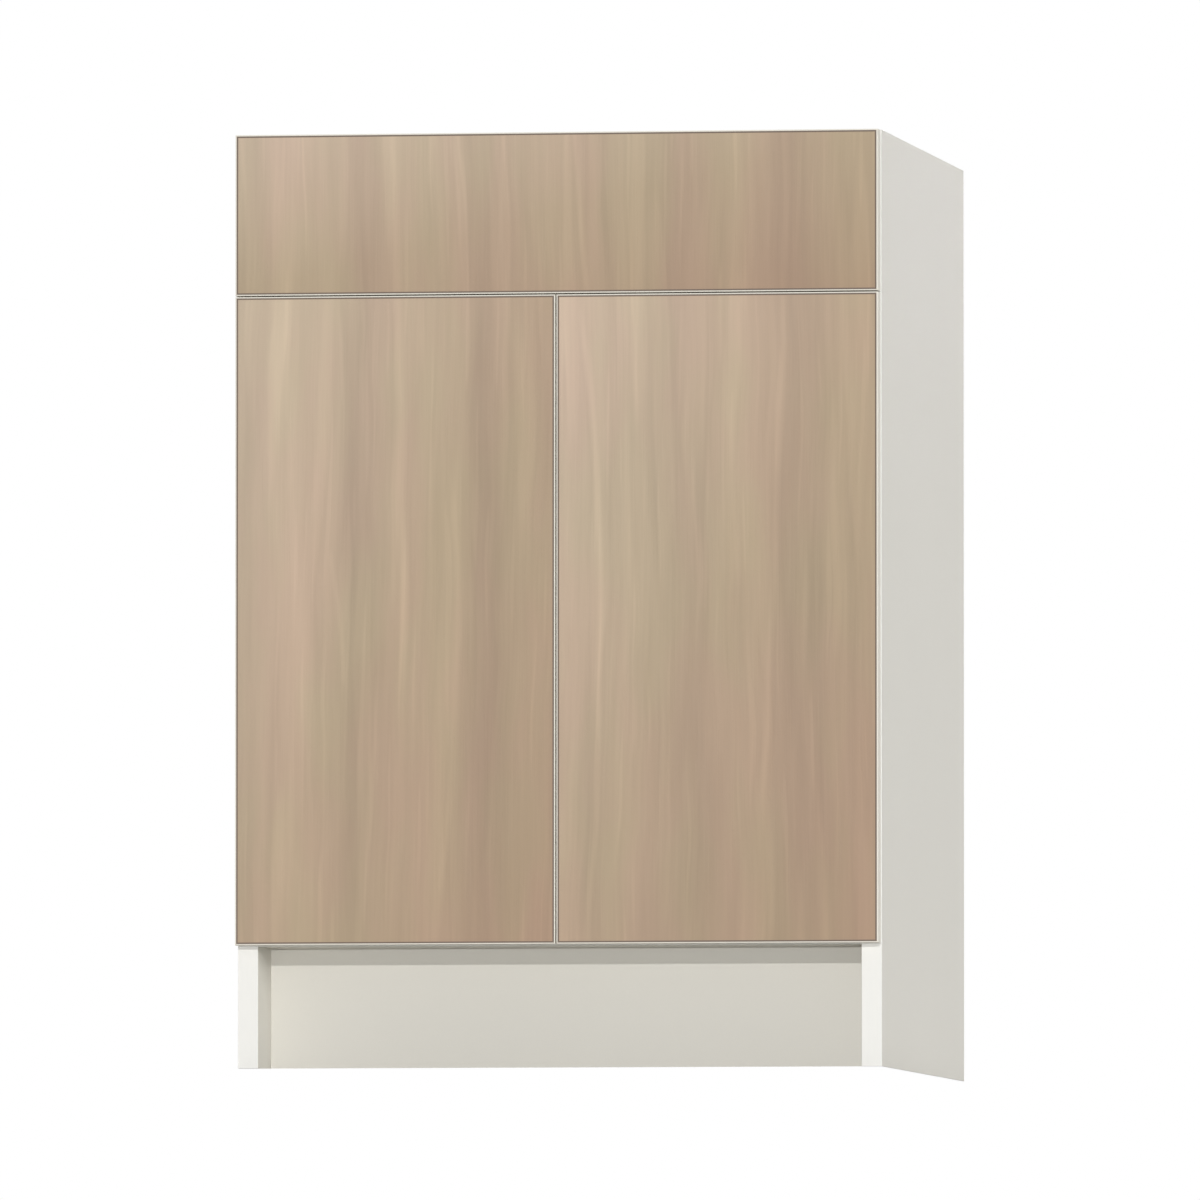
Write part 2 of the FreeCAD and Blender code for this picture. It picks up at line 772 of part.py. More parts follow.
def link(points, z, cup_eye_radius, cup_eye_play):
    """A link with an eye at each end: the first on the arm's pin, the last on the cup's pin."""
    body = joined(strip(points, link_thickness, z), upright_rod(link_eye_radius, points[0], z),
                  upright_rod(cup_eye_radius, points[-1], z))
    tight = hinge_pin_radius + hinge_pin_fit
    bores = [upright_rod(tight, points[0], z), upright_rod(tight + cup_eye_play, points[-1], z)]
    return without(body, bores)


def layers(low, high, z):
    """The pair of height ranges at the same distance above and below a hinge's centre."""
    return ((z + low, z + high), (z - high, z - low))


def hinge_cup(z):
    """The cup in the door with its flange, its two pins and its two screws. Returns the door's cuts."""
    back_face = Vector(cup_x, front_back_y, z)
    flange_face = back_face + back * cup_flange
    bottom = back_face - back * cup_depth
    ears = [back_face + right * cup_screw_inset + up * side * cup_screw_spacing / 2 for side in (1, -1)]
    shell = rounded(rod(cup_radius, bottom, back_face), cup_rounding,
                    lambda edge: edge.Closed and edge.CenterOfMass.y < bottom.y + cup_rounding / 2)
    web_x = around(ears[0].x, cup_ear_radius)
    web = block(web_x, (front_back_y, flange_face.y), around(z, cup_screw_spacing / 2))
    shell = joined(shell, rod(cup_radius + cup_rim, back_face, flange_face), web,
                   *[rod(cup_ear_radius, ear, ear + back * cup_flange) for ear in ears])
    tools = [rod(cup_radius - cup_wall, bottom + back * cup_wall, flange_face + back * cut_overrun)]
    door_cuts = [rod(cup_radius + cup_fit, bottom - back * cup_fit, back_face + back * cut_overrun)]
    for point in (long_cup_point, short_cup_point):
        off_centre = cup_x - point.x + hinge_pin_radius
        reach = math.sqrt(cup_radius ** 2 - off_centre ** 2)
        keep_pair("cup_pins", upright_rod(hinge_pin_radius, point, around(z, reach)))
        tools.append(upright_rod(hinge_pin_radius + hinge_pin_fit, point, around(z, cup_radius)))
    for ear in ears:
        place = ear + back * cup_flange
        keep_pair("cup_screws", flush_screw(place, -back, slide_screw_shank, slide_screw_head,
                                            cup_flange, slide_screw_length))
        tools.append(placed(Part.makeCone(slide_screw_head, slide_screw_shank, cup_flange), place, -back))
        door_cuts.append(screw_hole(place, -back, slide_screw_shank, slide_screw_length))
    keep_pair("hinge_cups", without(shell, tools))
    return door_cuts


def hinge_links(z):
    """The long link and the two plates of the short link."""
    long_points = [long_arm_point, long_bend_rear, long_bend_front, long_cup_point]
    keep_pair("long_links", link(long_points, around(z, long_link_half), link_eye_radius, 0))
    short_points = [short_arm_point, short_bend_rear, short_bend_front, short_cup_point]
    for heights in layers(short_link_inner, short_link_outer, z):
        keep_pair("short_links", link(short_points, heights, open_eye_radius, open_eye_play))


def hinge_arm(z):
    """The arm on its mounting plate, with its pins and screws."""
    inner_u = carcass_board
    web = (inner_u + arm_lift, inner_u + arm_lift + arm_sheet)
    foot_u = inner_u + plate_thickness + arm_foot_play
    knee = hinge_point(inner_u + arm_knee_in, arm_start, 0)
    outer_half = arm_inner_half + arm_sheet
    start = hinge_point(web[0], arm_start, z - outer_half)
    end = hinge_point(web[1], arm_end, z + outer_half)
    pieces = [block((start.x, end.x), (start.y, end.y), (start.z, end.z))]
    for heights in layers(arm_inner_half, outer_half, z):
        foot = hinge_point(foot_u, arm_start, z)
        pieces.append(block((foot.x, end.x), (start.y, end.y), heights))
        for point in (long_arm_point, short_arm_point):
            pieces.append(strip([knee, point], 2 * arm_eye_radius, heights))
            pieces.append(upright_rod(arm_eye_radius, point, heights))
        pieces.append(upright_rod(arm_eye_radius, knee, heights))
    arm = joined(*pieces)
    tools = []
    keep_both("hinge_arm_pins", upright_rod(hinge_pin_radius, long_arm_point, around(z, outer_half)),
              *[upright_rod(hinge_pin_radius, short_arm_point, heights)
                for heights in layers(short_link_inner, outer_half, z)])
    for point in (long_arm_point, short_arm_point):
        tools.append(upright_rod(hinge_pin_radius + hinge_pin_fit, point, around(z, outer_half)))
    plate = mounting_plate(z)
    for v in (arm_start + arm_screw_inset, arm_end - arm_screw_inset):
        place = hinge_point(web[1], v, z)
        keep_both("hinge_arm_screws", pan_screw(place, -right, arm_screw_shank, slide_screw_head,
                                                slide_screw_head_height, arm_screw_length))
        hole = screw_hole(place, -right, arm_screw_shank, arm_screw_length)
        tools.append(hole)
        plate = plate.cut(hole)
    keep_both("hinge_arms", without(arm, tools))
    keep_both("hinge_plates", plate)


def mounting_plate(z):
    """The plate on the side panel: a rib inside the arm, and a wing above and below it for the screws."""
    face_u = carcass_board
    wing_u = face_u + plate_thickness
    rib_u = face_u + arm_lift - arm_foot_play
    rib_half = arm_inner_half - arm_foot_play

    def slab(u, v, half):
        low = hinge_point(u[0], v[0], z - half)
        high = hinge_point(u[1], v[1], z + half)
        return block((low.x, high.x), (low.y, high.y), (low.z, high.z))

    wing_half = plate_screw_spacing / 2 + plate_wing_radius
    wings = slab((face_u, wing_u), around(line_hole_setback, plate_wing_radius), wing_half)
    wings = rounded(wings, plate_wing_radius - plate_thickness, lambda edge: runs_along(edge, right))
    foot = slab((face_u, wing_u), (arm_start, arm_end), plate_foot_half)
    rib = slab((face_u, rib_u), (arm_start, arm_end), rib_half)
    holes = []
    for screw_z in around(z, plate_screw_spacing / 2):
        place = hinge_point(wing_u, line_hole_setback, screw_z)
        keep_both("hinge_plate_screws", pan_screw(place, -right, plate_screw_shank, plate_screw_head,
                                                  slide_screw_head_height, slide_screw_length))
        holes.append(screw_hole(place, -right, plate_screw_shank, slide_screw_length))
    side_cuts.extend(holes)
    return without(joined(wings, foot, rib), holes)


def doors():
    """The doors with their bands and bumpers, and the hinges that carry them."""
    core, band = front_slab((-fronts_half_width, -door_free_x), (door_bottom_z, door_top_z))
    cuts = []
    for z in (door_bottom_z + hinge_end_distance, door_top_z - hinge_end_distance):
        cuts.extend(hinge_cup(z))
        hinge_links(z)
        hinge_arm(z)
    keep_pair("door", without(core, cuts))
    keep_pair("door_edge_band", band)
    for z in ((divider_z + door_top_z) / 2, (door_bottom_z + bottom_top_z) / 2):
        keep_pair("door_bumpers", bumper(-door_free_x - bumper_inset, z))


carcass_rails()
back_panel()
shelf()
carcass_bands()
drawer_box(drawer_front())
drawer_slides()
doors()
side_panels()

os.makedirs("parts", exist_ok=True)
for node, solids in nodes.items():
    shape = solids[0] if len(solids) == 1 else Part.makeCompound(solids)
    shape.exportStep("parts/" + node + ".step")
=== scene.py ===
"""The looks of a kitchen base cabinet: materials, light, floor and camera round the fixed frame."""
import bpy
import json
import math
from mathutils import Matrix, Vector


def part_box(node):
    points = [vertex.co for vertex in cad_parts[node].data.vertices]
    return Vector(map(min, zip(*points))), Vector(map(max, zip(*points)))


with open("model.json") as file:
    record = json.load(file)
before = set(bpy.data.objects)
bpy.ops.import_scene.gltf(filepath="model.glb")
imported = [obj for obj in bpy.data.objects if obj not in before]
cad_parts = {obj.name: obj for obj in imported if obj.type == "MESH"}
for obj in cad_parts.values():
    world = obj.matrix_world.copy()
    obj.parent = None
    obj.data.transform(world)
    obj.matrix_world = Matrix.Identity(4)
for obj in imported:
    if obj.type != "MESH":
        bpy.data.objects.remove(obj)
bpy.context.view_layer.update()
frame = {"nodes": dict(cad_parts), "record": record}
MM = 0.001

# The camera: degrees to the right of the front and above it, and metres from the point of the front's plane
# that it aims at, which lies to the right of the middle and above the floor. The lens is in millimetres
AZIMUTH = 8.56
ELEVATION = -2.70
DISTANCE = 20.0
LENS = 640.7
AIM_RIGHT = 0.0387
AIM_UP = 0.4375
CLIP_END = 60.0

# The stage, in metres
FLOOR_REACH = 4.0
FLOOR_THICKNESS = 0.0002

# The share of full brightness that each lamp gives to an upright surface that faces it, the top lamp to a
# level one, and the world to every surface
KEY_SHARE = 0.31
FRONT_FILL_SHARE = 0.32
SIDE_SHARE = 0.41
TOP_SHARE = 0.35
AMBIENT_SHARE = 0.20

# Where the lamps stand, in degrees round from the front and up, and the widths that they shine from
FRONT_AZIMUTH = 7.8
KEY_RISE = 9.5
KEY_SOFTNESS = 0.5
FRONT_FILL_RISE = 0.6
FRONT_FILL_SOFTNESS = 1.0
RIGHT_AZIMUTH = 82.5
RIGHT_RISE = 2.5
BACK_AZIMUTH = 180
LEFT_AZIMUTH = 270
SIDE_RISE = 8.0
TOP_RISE = 90
SIDE_SOFTNESS = 6.0

# Colours as they are seen, from 0 to 255
# Painted shade: the carcass's white darkened to the tone that its sides and toe board show in shade
SHADED_WHITE_BOARD = (213, 210, 201)
WHITE_EDGE = (236, 235, 230)
DOOR_EDGE = (224, 219, 207)
# The print's colour at the top left, middle and bottom right of each front, with a painted light falloff
# between them
FRONT_TOP_LEFT = (198, 178, 156)
FRONT_MIDDLE = (177, 156, 131)
FRONT_BOTTOM_RIGHT = (165, 140, 116)
# Painted shade: the dark line along the fronts' edges
FRONT_EDGE_SHADE = (116, 101, 89)
BIRCH = (224, 201, 165)
BIRCH_DARK = (203, 175, 136)
BIRCH_END = (190, 158, 118)
BEECH = (214, 180, 140)
ZINC = (196, 199, 203)
NICKEL = (188, 187, 184)
CAST_ZINC = (150, 152, 155)
SOFT_PLASTIC = (226, 228, 226)
FLOOR = (238, 237, 235)
FLOOR_BOUNCE = (178, 178, 177)

# Pure white, as Blender's own linear colour
WHITE = (1, 1, 1, 1)

# Below, a noise is written as its repeats per metre along X, Y and Z, its detail, its place in the noise and
# its roughness, a bump as its height in metres and its strength, and a range as the ends that a noise is
# spread between. Edges are the values of a noise at which something begins and is full

# The dark line round each front's print, just inside its pale edge band, is painted shade along the front's
# edges. Its width and softness, in metres
LINE_WIDTH = 0.0017
LINE_SOFTNESS = 0.0005

# How far the print's strokes drift sideways, in metres
WANDER_NOISE = ((3.4, 0, 1.3), 1.0, (3.1, 0, 0.4))
WANDER = 0.020
WAVER_NOISE = ((16, 0, 7), 1.0)
WAVER = 0.005

# The broad streaks of the print, in millimetres from the cabinet's middle, and how much they lighten it
STREAK_REACH = 310
PALE_STREAKS = (-265, -230, -155, -105, -20, 15, 70, 185, 265)
DARK_STREAKS = (-300, -180, -75, 45, 115, 225)
PALE_SHADE = 0.8
MIDDLE_SHADE = 0.5
DARK_SHADE = 0.2
STREAK_FADING_NOISE = ((9, 0, 2.6), 2.0, (7.7, 0, 2.2))
STREAK_FADING = (0.05, 0.22)

# The long flames of the print: places across at foot, middle and head, heights of foot and head above the
# floor and half the width, all in millimetres, and the change of lightness. Each fades out over a share of
# half its length at either end
FLAMES = (
    ((-256, -252, -270), (110, 900), 20, 0.06),
    ((-145, -148, -160), (330, 930), 7, 0.10),
    ((26, 43, 19), (90, 740), 5, 0.10),
    ((29, 22, 15), (715, 900), 4, 0.08),
    ((193, 207, 214), (200, 760), 6, 0.07),
    ((-113, -94, -98), (140, 570), 5, 0.06),
    ((-198, -204, -214), (350, 490), 4, 0.05),
    ((172, 170, 172), (440, 760), 24, 0.05),
    ((-192, -194, -198), (90, 740), 16, -0.06),
    ((-52, -62, -60), (90, 720), 30, -0.05),
    ((128, 134, 130), (90, 640), 20, -0.04),
    ((250, 248, 246), (90, 760), 16, -0.04),
)
FLAME_FADE_SHARE = 0.25

# Finer strokes that drift with the print: repeats per metre across and up, detail and place in the noise,
# then their edges, and their change of lightness
STROKES = (
    (((44, 2.6), 1.0, 3.7), (0.53, 0.63), 0.06),
    (((34, 2.4), 1.0, 9.2), (0.52, 0.66), -0.045),
    (((150, 5), 1.0, 5.1), (0.58, 0.70), 0.055),
)

# Fibres that drift with the print, written as the strokes are, and the most that they lighten or darken it
FIBRES = (
    (((95, 5), 2.0, 1.7), 0.085),
    (((330, 12), 3.0, 8.1), 0.045),
)

# Clouds over the whole print, and the most that they lighten or darken it
PRINT_CLOUD_NOISE = ((7, 0, 3.2), 2.0, (4.4, 0, 1.3))
PRINT_CLOUD = 0.04

# Tan and pinkish patches, as factors of the print's colour, and their noise, written as the strokes are
TINT_TAN = (0.989, 1.016, 0.990, 1)
TINT_PINK = (1.014, 0.979, 1.005, 1)
PATCH_NOISE = ((15, 4.5), 2.0, 2.3)
PATCH_EDGES = (0.36, 0.64)

# The surface of the print
PRINT_GRAIN_NOISE = ((700, 700, 14), 3.0, (0, 0, 0), 0.6)
PRINT_BUMP = (0.00012, 0.6)
PRINT_GLOSS_NOISE = ((260, 260, 18), 2.0, (5.0, 5.0, 5.0))
PRINT_ROUGHNESS = (0.46, 0.58)

# The fronts' edge band
BAND_SPECK_NOISE = ((420, 420, 420), 3.0)
BAND_SPECKS = (0.965, 1.02)
BAND_PEEL_NOISE = ((900, 900, 900), 2.0)
BAND_BUMP = (0.00008, 0.5)
BAND_ROUGHNESS = (0.38, 0.5)

# The melamine of the carcass
BOARD_CLOUD_NOISE = ((5, 5, 5), 2.0)
BOARD_CLOUDS = (0.985, 1.012)
BOARD_SPECK_NOISE = ((600, 600, 600), 3.0, (0, 0, 0), 0.6)
BOARD_SPECKS = (0.982, 1.016)
BOARD_PEARL_NOISE = ((1100, 1100, 1100), 3.0, (0, 0, 0), 0.55)
BOARD_BUMP = (0.00009, 0.7)
BOARD_ROUGHNESS = (0.42, 0.56)

# The edge band of the carcass
CARCASS_SPECK_NOISE = ((300, 300, 60), 3.0)
CARCASS_SPECKS = (0.975, 1.01)
CARCASS_PEEL_NOISE = ((900, 900, 300), 2.0)
CARCASS_BUMP = (0.00007, 0.5)
CARCASS_ROUGHNESS = (0.32, 0.46)

# Solid wood: repeats per metre across the grain, detail and place in the noise. Along the grain the repeats
# are a share of those across it
RING_GRAIN = (75, 3.0, 1.3)
RING_EDGES = (0.38, 0.66)
FIBRE_GRAIN = (620, 3.0, 4.1)
FIBRE_RANGE = (0.93, 1.05)
FLECK_GRAIN = (1500, 1.0, 2.2)
FLECK_EDGES = (0.66, 0.78)
FLECK_SHARE = 0.35
ALONG_GRAIN_SHARE = 0.055
GRAIN_ROUGHNESS = 0.6
PORE_NOISE = ((1400, 1400, 1400), 2.0)
PORES = (0.82, 1.08)
END_GRAIN_EDGES = (0.55, 0.8)
WOOD_BUMP = (0.0001, 0.5)
WOOD_ROUGHNESS = (0.5, 0.62)

# Metals: colour, roughness, brush lines and mottle
METALS = {
    "zinc_steel": (ZINC, 0.32, ((600, 18, 600), 2.0, (0, 0, 0), 0.6), ((60, 60, 60), 3.0)),
    "nickel_steel": (NICKEL, 0.24, ((500, 500, 90), 2.0, (0, 0, 0), 0.6), ((90, 90, 90), 3.0)),
    "cast_zinc": (CAST_ZINC, 0.5, ((900, 900, 900), 2.0, (0, 0, 0), 0.6), ((140, 140, 140), 3.0)),
}
BRUSH_RANGE = (0.92, 1.06)
MOTTLE_RANGE = (0.90, 1.08)
MOTTLE_WEAR = 0.07
BRUSH_WEAR = 0.04
METAL_BUMP = (0.00004, 0.5)

# The clear bumpers
HAZE_NOISE = ((500, 500, 500), 2.0)
HAZE_RANGE = (0.94, 1.0)
BUMPER_BUMP = (0.00005, 0.4)
BUMPER_ROUGHNESS = (0.18, 0.32)

# The floor
FLOOR_SPECK_NOISE = ((30, 30, 30), 3.0)
FLOOR_SPECKS = (0.985, 1.01)
FLOOR_ROUGHNESS = (0.7, 0.8)


def linear(colour):
    """A colour from 0 to 255 as Blender's linear colour."""
    def one(value):
        share = value / 255
        return share / 12.92 if share <= 0.04045 else ((share + 0.055) / 1.055) ** 2.4
    return tuple(one(value) for value in colour) + (1.0,)


class Look:
    """A material and the short calls that build its nodes."""

    # Where the Mix node keeps its two colours and the mixed one
    MIX_FIRST = 6
    MIX_SECOND = 7
    MIX_RESULT = 2

    def __init__(self, name):
        self.material = bpy.data.materials.new(name)
        self.material.use_nodes = True
        self.tree = self.material.node_tree
        self.shader = self.tree.nodes["Principled BSDF"]
        self.coordinates = self.tree.nodes.new("ShaderNodeTexCoord")

    def set(self, node, key, value):
        """Links a socket to an input, or writes a plain value on it."""
        if isinstance(value, bpy.types.NodeSocket):
            self.tree.links.new(value, node.inputs[key])
        else:
            node.inputs[key].default_value = value

    def node(self, kind, inputs=(), **settings):
        """A new node with its settings and its inputs, given as pairs."""
        made = self.tree.nodes.new("ShaderNode" + kind)
        for key, value in settings.items():
            setattr(made, key, value)
        for key, value in inputs:
            self.set(made, key, value)
        return made

    def math(self, operation, *values):
        """The result of an operation on sockets and plain values."""
        made = self.node("Math", operation=operation)
        for index, value in enumerate(values):
            self.set(made, index, value)
        return made.outputs[0]

    def stretched(self, scale, offset=(0, 0, 0)):
        """The object's own coordinates, in metres, times a scale along each axis."""
        return self.node("Mapping", (("Vector", self.coordinates.outputs["Object"]),
                                     ("Scale", scale), ("Location", offset))).outputs[0]

    def noise(self, repeats, detail, offset=(0, 0, 0), roughness=0.5):
        """Noise from 0 to 1 with its repeats per metre along each axis."""
        vector = self.stretched(repeats, offset)
        return self.node("TexNoise", (("Vector", vector), ("Scale", 1.0), ("Detail", detail),
                                      ("Roughness", roughness))).outputs["Fac"]

    def ranged(self, value, low, high):
        """A value from 0 to 1 spread from low to high."""
        return self.node("MapRange", (("Value", value), ("To Min", low), ("To Max", high))).outputs["Result"]

    def between(self, value, low, high):
        """0 below low, 1 above high, and a soft step between them."""
        return self.node("MapRange", (("Value", value), ("From Min", low), ("From Max", high)),
                         interpolation_type="SMOOTHSTEP").outputs["Result"]

    def outside(self, value, low, high):
        """1 below low, 0 above high, and a soft step between them."""
        return self.math("SUBTRACT", 1.0, self.between(value, low, high))

    def ramp(self, value, stops, interpolation):
        """Colours or grey levels at places from 0 to 1."""
        made = self.node("ValToRGB", (("Fac", value),))
        band = made.color_ramp
        band.interpolation = interpolation
        for index, (place, colour) in enumerate(stops):
            stop = band.elements[index] if index < 2 else band.elements.new(place)
            stop.position = place
            stop.color = colour if isinstance(colour, tuple) else (colour, colour, colour, 1)
        return made.outputs["Color"]

    def mix(self, share, first, second):
        """Two colours mixed by a share from 0 to 1."""
        made = self.node("Mix", data_type="RGBA")
        self.set(made, 0, share)
        self.set(made, self.MIX_FIRST, first)
        self.set(made, self.MIX_SECOND, second)
        return made.outputs[self.MIX_RESULT]

    def shaded(self, colour, lightness):
        """A colour times a lightness."""
        made = self.node("VectorMath", ((0, colour), ("Scale", lightness)), operation="SCALE")
        return made.outputs[0]

    def toned(self, tone, lightness):
        """A plain colour from 0 to 255, times a lightness."""
        return self.shaded(linear(tone)[:3], lightness)

    def bump(self, height, distance, strength):
        """A bump of a height from 0 to 1 that stands up by a distance in metres."""
        made = self.node("Bump", (("Height", height), ("Distance", distance), ("Strength", strength)))
        return made.outputs["Normal"]

    def finish(self, colour, roughness, normal=None, **constants):
        """Connects the shader. Constants are written on its own sockets."""
        self.set(self.shader, "Base Color", colour)
        self.set(self.shader, "Roughness", roughness)
        if normal is not None:
            self.set(self.shader, "Normal", normal)
        for key, value in constants.items():
            self.shader.inputs[key.replace("_", " ")].default_value = value
        return self.material

    def show(self, surface):
        """Shows a surface in place of the shader."""
        self.tree.links.new(surface.outputs[0], self.tree.nodes["Material Output"].inputs["Surface"])


def facing(look, axis):
    """How much a surface faces along an axis of the object, from 0 to 1 without a sign."""
    normal = look.node("SeparateXYZ", ((0, look.coordinates.outputs["Normal"]),))
    return look.math("ABSOLUTE", normal.outputs[axis])


def drifting(look, across, up, repeats, detail, offset):
    """Noise in upright strokes that drift sideways with the print. Its repeats are across and up."""
    vector = look.node("CombineXYZ", (("X", look.math("MULTIPLY_ADD", across, repeats[0], offset)),
                                      ("Z", look.math("MULTIPLY_ADD", up, repeats[1], offset))))
    return look.node("TexNoise", (("Vector", vector.outputs[0]), ("Scale", 1.0),
                                  ("Detail", detail))).outputs["Fac"]


def broad_streaks(look, across):
    """The print's pale and dark streaks, which show more in some places than in others."""
    reach = STREAK_REACH * MM
    bands = sorted([(place, PALE_SHADE) for place in PALE_STREAKS]
                   + [(place, DARK_SHADE) for place in DARK_STREAKS])
    shade = look.ramp(look.math("DIVIDE", look.math("ADD", across, reach), 2 * reach),
                      [((place * MM + reach) / (2 * reach), shade) for place, shade in bands], "EASE")
    fading = look.ranged(look.noise(*STREAK_FADING_NOISE), *STREAK_FADING)
    return look.math("MULTIPLY", look.math("SUBTRACT", shade, MIDDLE_SHADE), fading)


def flame(look, across, up, bend, ends, width, strength):
    """A long upright streak that bends through three places and fades out at its ends."""
    foot, middle, head = (place * MM for place in bend)
    low, high = (end * MM for end in ends)
    along = look.math("DIVIDE", look.math("SUBTRACT", up, (low + high) / 2), (high - low) / 2)
    slope = look.math("MULTIPLY_ADD", along, (foot + head) / 2 - middle, (head - foot) / 2)
    centre = look.math("MULTIPLY_ADD", slope, along, middle)
    aside = look.math("ABSOLUTE", look.math("SUBTRACT", across, centre))
    body = look.outside(aside, 0.0, width * MM)
    ending = look.outside(look.math("ABSOLUTE", along), 1 - FLAME_FADE_SHARE, 1.0)
    return look.math("MULTIPLY", look.math("MULTIPLY", body, ending), strength)


def stroke(look, across, up, noise, edges, strength):
    """Short strokes that drift with the print."""
    return look.math("MULTIPLY", look.between(drifting(look, across, up, *noise), *edges), strength)


def print_lightness(look, across, wavering, up):
    """The lightness of the print, about 1: broad streaks, flames, strokes, fibres and clouds."""
    layers = [flame(look, wavering, up, *values) for values in FLAMES]
    layers.append(broad_streaks(look, across))
    layers += [stroke(look, across, up, *values) for values in STROKES]
    layers += [look.ranged(drifting(look, across, up, *noise), -most, most) for noise, most in FIBRES]
    layers.append(look.ranged(look.noise(*PRINT_CLOUD_NOISE), -PRINT_CLOUD, PRINT_CLOUD))
    lightness = 1.0
    for layer in layers:
        lightness = look.math("ADD", lightness, layer)
    return lightness


def print_tone_and_painted_falloff(look):
    """The print's colour, lighter at the top left of a front and darker at its bottom right: a painted light
    falloff.
    """
    in_front = look.node("SeparateXYZ", ((0, look.coordinates.outputs["Generated"]),))
    down = look.math("SUBTRACT", 1.0, in_front.outputs["Z"])
    corner = look.math("DIVIDE", look.math("ADD", in_front.outputs["X"], down), 2)
    tones = (FRONT_TOP_LEFT, FRONT_MIDDLE, FRONT_BOTTOM_RIGHT)
    return look.ramp(corner, [(index / 2, linear(tone)) for index, tone in enumerate(tones)], "LINEAR")


def painted_edge_shade(look, place, node):
    """Painted shade: 1 on a thin line along the edges of a front, and 0 inside it."""
    inside = 1.0
    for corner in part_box(node):
        for axis, edge in (("X", corner.x), ("Z", corner.z)):
            distance = look.math("ABSOLUTE", look.math("SUBTRACT", place.outputs[axis], edge))
            inside = look.math("MINIMUM", inside, distance)
    return look.outside(inside, LINE_WIDTH - LINE_SOFTNESS, LINE_WIDTH)


def wood_print(node):
    """The printed wood of a front: upright streaks, fine lines, tan and pinkish patches, and a dark border
    of painted shade.
    """
    look = Look(node + "_print")
    place = look.node("SeparateXYZ", ((0, look.coordinates.outputs["Object"]),))
    up = place.outputs["Z"]
    wander = look.ranged(look.noise(*WANDER_NOISE), -WANDER, WANDER)
    waver = look.ranged(look.noise(*WAVER_NOISE), -WAVER, WAVER)
    wavering = look.math("ADD", place.outputs["X"], waver)
    across = look.math("ADD", wavering, wander)
    patch = look.between(drifting(look, across, up, *PATCH_NOISE), *PATCH_EDGES)
    tint = look.mix(patch, TINT_TAN, TINT_PINK)
    # The print's colour with its painted light falloff
    tinted = look.node("VectorMath", ((0, print_tone_and_painted_falloff(look)), (1, tint)), operation="MULTIPLY").outputs[0]
    wood_grain = look.shaded(tinted, print_lightness(look, across, wavering, up))
    # A dark line of painted shade along the front's edges
    colour = look.mix(painted_edge_shade(look, place, node), wood_grain, linear(FRONT_EDGE_SHADE))
    roughness = look.ranged(look.noise(*PRINT_GLOSS_NOISE), *PRINT_ROUGHNESS)
    relief = look.bump(look.noise(*PRINT_GRAIN_NOISE), *PRINT_BUMP)
    return look.finish(colour, roughness, relief, Specular_IOR_Level=0.25)


def front_band():
    """The fronts' pale edge band."""
    look = Look("front_band")
    specks = look.ranged(look.noise(*BAND_SPECK_NOISE), *BAND_SPECKS)
    relief = look.bump(look.noise(*BAND_PEEL_NOISE), *BAND_BUMP)
    return look.finish(look.toned(DOOR_EDGE, specks), look.ranged(specks, *BAND_ROUGHNESS), relief)


def melamine():
    """Warm white melamine, darkened with painted shade: a fine pearl texture and a very slight cloudiness.
    """
    look = Look("carcass_melamine")
    clouds = look.ranged(look.noise(*BOARD_CLOUD_NOISE), *BOARD_CLOUDS)
    specks = look.ranged(look.noise(*BOARD_SPECK_NOISE), *BOARD_SPECKS)
    # The melamine's colour carries painted shade
    colour = look.toned(SHADED_WHITE_BOARD, look.math("MULTIPLY", clouds, specks))
    pearl = look.noise(*BOARD_PEARL_NOISE)
    return look.finish(colour, look.ranged(pearl, *BOARD_ROUGHNESS), look.bump(pearl, *BOARD_BUMP),
                       Specular_IOR_Level=0.4)


def carcass_band():
    """The edge band on the carcass's front edges. It is lighter than the melamine, whose colour carries
    painted shade.
    """
    look = Look("carcass_band")
    specks = look.ranged(look.noise(*CARCASS_SPECK_NOISE), *CARCASS_SPECKS)
    peel = look.noise(*CARCASS_PEEL_NOISE)
    return look.finish(look.toned(WHITE_EDGE, specks), look.ranged(peel, *CARCASS_ROUGHNESS),
                       look.bump(peel, *CARCASS_BUMP))


def wood(name, along, light, dark, end):
    """Solid wood with its grain along an axis and a darker end grain."""
    look = Look(name)

    def grain(across, detail, offset):
        repeats = tuple(across * (ALONG_GRAIN_SHARE if axis == along else 1) for axis in "XYZ")
        return look.noise(repeats, detail, (offset, offset, offset), GRAIN_ROUGHNESS)

    rings = look.between(grain(*RING_GRAIN), *RING_EDGES)
    fibres = look.ranged(grain(*FIBRE_GRAIN), *FIBRE_RANGE)
    flecks = look.between(grain(*FLECK_GRAIN), *FLECK_EDGES)
    ringed = look.mix(rings, linear(light), linear(dark))
    flecked = look.mix(look.math("MULTIPLY", flecks, FLECK_SHARE), ringed, linear(end))
    cut_end = look.toned(end, look.ranged(look.noise(*PORE_NOISE), *PORES))
    at_end = look.between(facing(look, along), *END_GRAIN_EDGES)
    colour = look.mix(at_end, look.shaded(flecked, fibres), cut_end)
    return look.finish(colour, look.ranged(rings, *WOOD_ROUGHNESS), look.bump(fibres, *WOOD_BUMP),
                       Specular_IOR_Level=0.4)


def metal(name, tone, roughness, brush, mottle):
    """A metal with fine brush lines, a soft mottle and light wear in its gloss."""
    look = Look(name)
    lines = look.noise(*brush)
    clouds = look.noise(*mottle)
    lightness = look.math("MULTIPLY", look.ranged(lines, *BRUSH_RANGE), look.ranged(clouds, *MOTTLE_RANGE))
    worn = look.math("ADD", look.ranged(clouds, roughness - MOTTLE_WEAR, roughness + MOTTLE_WEAR),
                     look.ranged(lines, -BRUSH_WEAR, BRUSH_WEAR))
    return look.finish(look.toned(tone, lightness), worn, look.bump(lines, *METAL_BUMP), Metallic=1.0)


